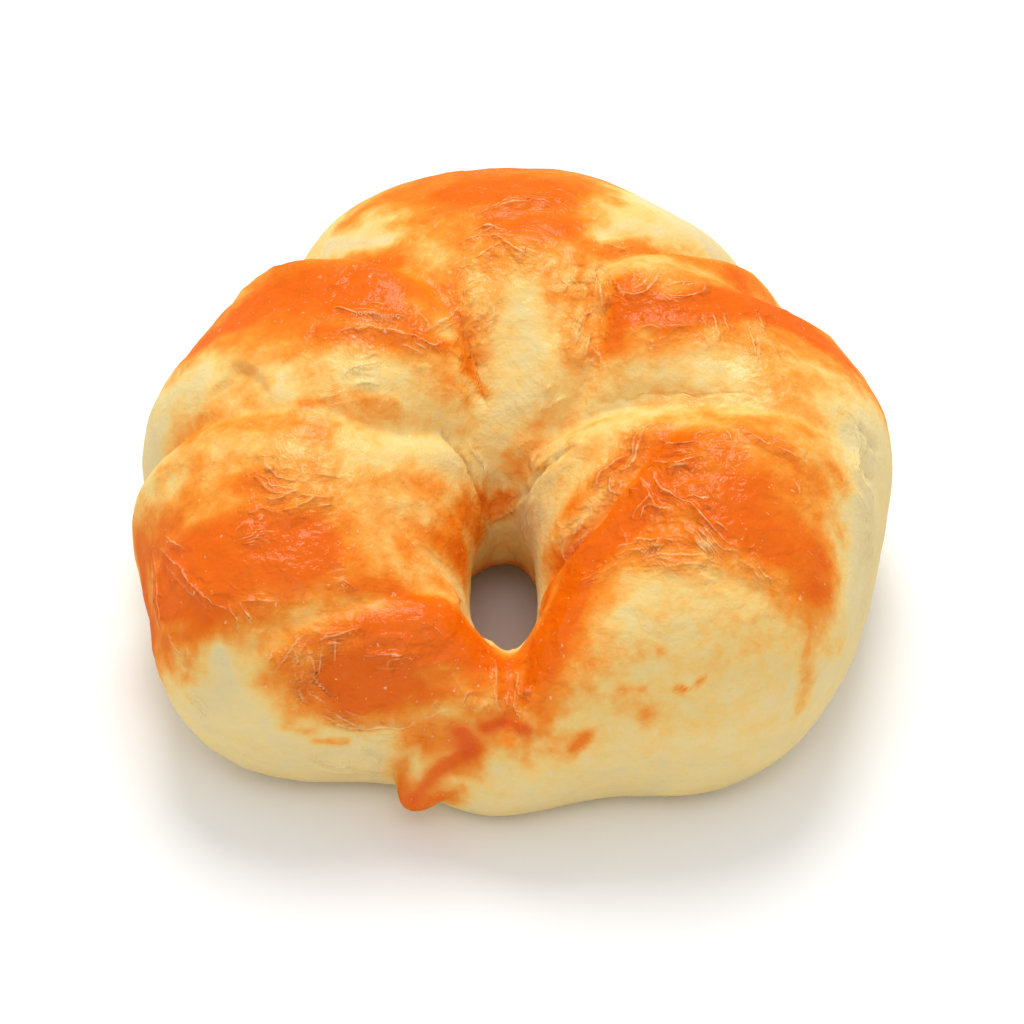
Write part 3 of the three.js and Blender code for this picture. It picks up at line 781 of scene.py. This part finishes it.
def crust_mesh():
    shape = crust_shape()
    index = np.arange(RING_STEPS * ROLL_STEPS).reshape(RING_STEPS, ROLL_STEPS)
    ahead = np.roll(index, -1, 0)
    corners = [index, ahead, np.roll(ahead, -1, 1), np.roll(index, -1, 1)]
    faces = np.stack(corners, -1).reshape(-1, len(corners))
    mesh = bpy.data.meshes.new("bread")
    mesh.from_pydata((shape.pop("crust") * MILLIMETRE).tolist(), [], faces.tolist())
    mesh.shade_smooth()
    for name, values in shape.items():
        kind, field = ("FLOAT", "value") if values.ndim == 1 else ("FLOAT_VECTOR", "vector")
        layer = mesh.attributes.new(name, kind, "POINT")
        layer.data.foreach_set(field, values.astype(np.float32).ravel())
    return mesh


# The crust's colours by how far it baked, from pale dough to deep orange, and the colours laid over them
CRUST_COLOURS = [
    (0.0, (0.77, 0.625, 0.33)),
    (0.1, (0.83, 0.64, 0.28)),
    (0.22, (0.88, 0.58, 0.18)),
    (0.4, (0.90, 0.41, 0.08)),
    (0.55, (0.88, 0.29, 0.03)),
    (0.75, (0.84, 0.20, 0.009)),
    (1.0, (0.79, 0.13, 0.0015)),
]
SEAM_RED = (0.72, 0.07, 0.008, 1)
# Painted highlight: the pale glint colour laid on fold crests and in small dots on the glazed skin
PAINTED_GLINT_COLOUR = (1, 0.68, 0.36, 1)
# Painted shade: the dark colour laid along grooves and creases
PAINTED_GROOVE_SHADE = (0.55, 0.16, 0.02, 1)
CLOUD_TINT = (0.86, 0.8, 0.66, 1)

# Noise in the crust: scale, detail, roughness, the span of it that counts, and the span that this becomes.
# The scales are for metres, but for millimetres where it runs along the ring.
PATTERNS = {
    "blots": (250, 4, 0.6, (0.3, 0.7), (-1, 1)),
    "flecks": (800, 2, 0.6, (0.3, 0.7), (-1, 1)),
    "mottles": (170, 3, 0.65, (0.5, 0.68), (0, 0.15)),
    "glints": (450, 2, 0.55, (0.35, 0.62), (0.15, 1)),
    # the next row gives a painted highlight: small glint dots on the glazed skin
    "painted_glint_dots": (1000, 2, 0.55, (0.68, 0.78), (0, 0.6)),
    "clouds": (0.3, 4, 0.65, (0.36, 0.64), (0, 0.26)),
    "gloss": (150, 3, 0.55, (0.3, 0.7), (0.2, 0.36)),
}

# How the bake breaks up into blots and flecks, and the bakes over which golden mottles come in
FLECK_SHARE = 0.3
BREAK_UP, LEAST_BREAK_UP = 0.42, 0.03
WHOLE_BAKE = 1.05
MOTTLED_BAKE = (0.1, 0.22)

# Fold lines: millimetres over which they fade, and how much painted highlight on crests and shade in grooves
COLOUR_LINE, BUMP_LINE = (0.03, 0.26), (0.0, 0.55)
PAINTED_GLINT_SHARE, GROOVE_SHADE_SHARE = 0.65, 0.08

# Crumpled facets, the noise that bends them, and what is left of them far from folds and on pale dough
CRUMPLE_FACETS = (300, 1, 0.5)
CRUMPLE_BEND_SCALE, CRUMPLE_BEND = 260.0, 0.006
FAR_CRUMPLES, PALE_CRUMPLES = 0.3, 0.3

# Bumps: depth in metres and strength, and the scale, detail and roughness of those made of noise
FOLD_BUMP, CRUMPLE_BUMP = (0.0003, 0.6), (0.001, 0.55)
STREAK_BUMP, STREAK_NOISE = (0.0008, 0.18), (0.6, 3, 0.6)
DENT_BUMP, DENT_NOISE = (0.001, 0.4), (330, 3, 0.6)
GRAIN_BUMP, GRAIN_NOISE = (0.0003, 0.35), (1300, 3, 0.6)

# A thin glaze gives all the gloss
GLAZE = {"Specular IOR Level": 0.0, "Coat Weight": 0.08, "Coat IOR": 2.5, "Coat Roughness": 0.14}

# Numbers of a mix node's sockets for colours, whose names others of its sockets also have
FIRST_COLOUR, SECOND_COLOUR, MIXED_COLOUR = 6, 7, 2


def fill(made, inputs):
    """Sets a node's inputs, by name or number, to values, or joins other nodes' outputs to them."""
    for name, value in dict(inputs).items():
        if isinstance(value, bpy.types.NodeSocket):
            made.id_data.links.new(value, made.inputs[name])
        else:
            made.inputs[name].default_value = value


def node(tree, kind, inputs=(), **settings):
    made = tree.nodes.new(kind)
    for name, value in settings.items():
        setattr(made, name, value)
    fill(made, inputs)
    return made


def attribute(tree, name, output="Fac"):
    return node(tree, "ShaderNodeAttribute", attribute_name=name).outputs[output]


def texture(tree, place, scale, detail, roughness, kind="Noise", output="Fac"):
    inputs = {"Vector": place, "Scale": scale, "Detail": detail, "Roughness": roughness}
    return node(tree, "ShaderNodeTex" + kind, inputs).outputs[output]


def math_node(tree, operation, *values):
    return node(tree, "ShaderNodeMath", enumerate(values), operation=operation).outputs[0]


def range_node(tree, value, span, new_span, smooth=False):
    names = ("Value", "From Min", "From Max", "To Min", "To Max")
    inputs = zip(names, (value, *span, *new_span))
    kind = "SMOOTHSTEP" if smooth else "LINEAR"
    return node(tree, "ShaderNodeMapRange", inputs, interpolation_type=kind).outputs["Result"]


def pattern(tree, place, name):
    *grain, span, new_span = PATTERNS[name]
    return range_node(tree, texture(tree, place, *grain), span, new_span)


def mix_colour(tree, share, first, second, blend="MIX"):
    inputs = {"Factor": share, FIRST_COLOUR: first, SECOND_COLOUR: second}
    made = node(tree, "ShaderNodeMix", inputs, data_type="RGBA", blend_type=blend)
    return made.outputs[MIXED_COLOUR]


def bump_node(tree, height, bump, normal=None):
    depth, strength = bump
    inputs = {"Height": height, "Distance": depth, "Strength": strength}
    if normal:
        inputs["Normal"] = normal
    return node(tree, "ShaderNodeBump", inputs).outputs["Normal"]


def fold_lines(tree, span):
    """A line along each fold's crest, below 0 along a groove, that fades over a span of distances."""
    total = 0.0
    for sheet in range(FOLD_SHEETS):
        gap = math_node(tree, "ABSOLUTE", attribute(tree, f"crest{sheet}"))
        line = range_node(tree, gap, span, (1, 0), smooth=True)
        total = math_node(tree, "MULTIPLY_ADD", line, attribute(tree, f"fold{sheet}"), total)
    return total


def crust_tone(tree, place):
    """The bake with golden mottles, broken up into blots and flecks where it is neither pale nor deep."""
    bake = attribute(tree, "bake")
    blots, flecks = pattern(tree, place, "blots"), pattern(tree, place, "flecks")
    swing = math_node(tree, "MULTIPLY_ADD", flecks, FLECK_SHARE, blots)
    paler = math_node(tree, "SUBTRACT", WHOLE_BAKE, bake)
    between = math_node(tree, "MULTIPLY", bake, paler)
    loose = math_node(tree, "MULTIPLY_ADD", between, BREAK_UP, LEAST_BREAK_UP)
    warm = range_node(tree, bake, MOTTLED_BAKE, (0, 1))
    golden = math_node(tree, "MULTIPLY", pattern(tree, place, "mottles"), warm)
    mottled = math_node(tree, "MULTIPLY_ADD", golden, paler, bake)
    return math_node(tree, "MULTIPLY_ADD", swing, loose, mottled)


def baked_colour(tree, tone):
    made = node(tree, "ShaderNodeValToRGB", {"Fac": tone})
    ramp = made.color_ramp
    while len(ramp.elements) < len(CRUST_COLOURS):
        ramp.elements.new(0.5)
    for element, (spot, colour) in zip(ramp.elements, CRUST_COLOURS):
        element.position = spot
        element.color = (*colour, 1)
    return made.outputs["Color"]


def crust_colour(tree, place, flow):
    """Baked colour, seam red, painted highlights on crests and in dots, painted groove shade, duller clouds.
    """
    baked = baked_colour(tree, crust_tone(tree, place))
    reddened = mix_colour(tree, attribute(tree, "red"), baked, SEAM_RED)
    # A painted highlight along the folds' crests and a painted shade along their grooves, broken up by noise
    line = math_node(tree, "MULTIPLY", fold_lines(tree, COLOUR_LINE), pattern(tree, place, "glints"))
    crest = range_node(tree, line, (0, 1), (0, PAINTED_GLINT_SHARE))
    groove = range_node(tree, line, (0, -1), (0, GROOVE_SHADE_SHARE))
    lit = mix_colour(tree, crest, reddened, PAINTED_GLINT_COLOUR)
    groove_shaded = mix_colour(tree, groove, lit, PAINTED_GROOVE_SHADE)
    # Painted highlight: small glint dots in the pale glint colour, on the glazed skin only
    painted_glint_dots = math_node(tree, "MULTIPLY", pattern(tree, place, "painted_glint_dots"), attribute(tree, "film"))
    painted_glint_dotted = mix_colour(tree, painted_glint_dots, groove_shaded, PAINTED_GLINT_COLOUR)
    duller = mix_colour(tree, 1.0, painted_glint_dotted, CLOUD_TINT, "MULTIPLY")
    return mix_colour(tree, pattern(tree, flow, "clouds"), painted_glint_dotted, duller)


def crumples(tree, place):
    """Small facets of crumpled skin with sharp edges between them, highest by the folds."""
    bend = node(tree, "ShaderNodeTexNoise", {"Vector": place, "Scale": CRUMPLE_BEND_SCALE})
    inputs = {0: bend.outputs["Color"], 1: (CRUMPLE_BEND,) * 3, 2: place}
    bent = node(tree, "ShaderNodeVectorMath", inputs, operation="MULTIPLY_ADD").outputs["Vector"]
    facets = texture(tree, bent, *CRUMPLE_FACETS, kind="Voronoi", output="Distance")
    skin = range_node(tree, attribute(tree, "film"), (0, 1), (PALE_CRUMPLES, 1))
    gather = math_node(tree, "MAXIMUM", attribute(tree, "gather"), FAR_CRUMPLES)
    return math_node(tree, "MULTIPLY", facets, math_node(tree, "MULTIPLY", gather, skin))


def crust_normals(tree, place, flow):
    """Sharp folds of the glazed skin, its crumples and streaks, and the dents and fine grain of the dough."""
    normal = bump_node(tree, fold_lines(tree, BUMP_LINE), FOLD_BUMP)
    normal = bump_node(tree, crumples(tree, place), CRUMPLE_BUMP, normal)
    normal = bump_node(tree, texture(tree, flow, *STREAK_NOISE), STREAK_BUMP, normal)
    normal = bump_node(tree, texture(tree, place, *DENT_NOISE), DENT_BUMP, normal)
    return bump_node(tree, texture(tree, place, *GRAIN_NOISE), GRAIN_BUMP, normal)


def crust_material():
    material = bpy.data.materials.new("glazed_crust")
    material.use_nodes = True
    tree = material.node_tree
    shader = tree.nodes["Principled BSDF"]
    place = node(tree, "ShaderNodeTexCoord").outputs["Object"]
    flow = attribute(tree, "flow", "Vector")
    normals = crust_normals(tree, place, flow)
    inputs = {"Base Color": crust_colour(tree, place, flow), "Roughness": pattern(tree, place, "gloss")}
    inputs.update({"Normal": normals, "Coat Normal": normals}, **GLAZE)
    fill(shader, inputs)
    return material


def add_object(name, data):
    made = bpy.data.objects.new(name, data)
    bpy.context.scene.collection.objects.link(made)
    return made


def make_bread():
    bread = add_object("bread", crust_mesh())
    bread.data.materials.append(crust_material())
    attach(bread, "root")
    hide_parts(NODE)


# The studio: the photo's view is from 46 degrees above the front, with a long lens
CAMERA_ELEVATION = 46.0
CAMERA_DISTANCE = 0.75
CAMERA_AIM = Vector((-0.0002, -0.0089, 0.020))
FOCAL_PIXELS, FRAME_PIXELS, SENSOR = 4750.0, 1024.0, 36.0
FLOOR_SIZE, FLOOR_COLOUR, FLOOR_ROUGHNESS = 6, (0.93, 0.93, 0.93, 1), 0.9

# Round lights that face the bread: place and width in metres, and power
LIGHTS = {"top": ((0, 0.75, 1.05), 0.75, 11.0), "front": ((0, -0.6, 1.2), 0.7, 1.7)}
SURROUNDING_LIGHT = 0.72
WHITE = (1, 1, 1, 1)


def make_camera():
    data = bpy.data.cameras.new("camera")
    data.sensor_width = SENSOR
    data.lens = FOCAL_PIXELS / FRAME_PIXELS * SENSOR
    camera = add_object("camera", data)
    rise = math.radians(CAMERA_ELEVATION)
    back = Vector((0, -math.cos(rise), math.sin(rise)))
    camera.location = CAMERA_AIM + back * CAMERA_DISTANCE
    camera.rotation_euler = back.to_track_quat("Z", "Y").to_euler()
    bpy.context.scene.camera = camera


def make_floor():
    bpy.ops.mesh.primitive_plane_add(size=FLOOR_SIZE)
    floor = bpy.context.object
    floor.name = "floor"
    material = bpy.data.materials.new("white_paper")
    material.use_nodes = True
    shader = material.node_tree.nodes["Principled BSDF"]
    fill(shader, {"Base Color": FLOOR_COLOUR, "Roughness": FLOOR_ROUGHNESS})
    floor.data.materials.append(material)


def make_light(name, place, size, power):
    data = bpy.data.lights.new(name, "AREA")
    data.shape = "DISK"
    data.size = size
    data.energy = power
    light = add_object(name, data)
    light.location = place
    light.rotation_euler = Vector(place).to_track_quat("Z", "Y").to_euler()


def make_studio():
    make_camera()
    make_floor()
    for name, (place, size, power) in LIGHTS.items():
        make_light(name, place, size, power)
    world = bpy.data.worlds.new("studio")
    world.use_nodes = True
    fill(world.node_tree.nodes["Background"], {"Color": WHITE, "Strength": SURROUNDING_LIGHT})
    bpy.context.scene.world = world
    bpy.context.scene.view_settings.view_transform = "Standard"


make_bread()
make_studio()
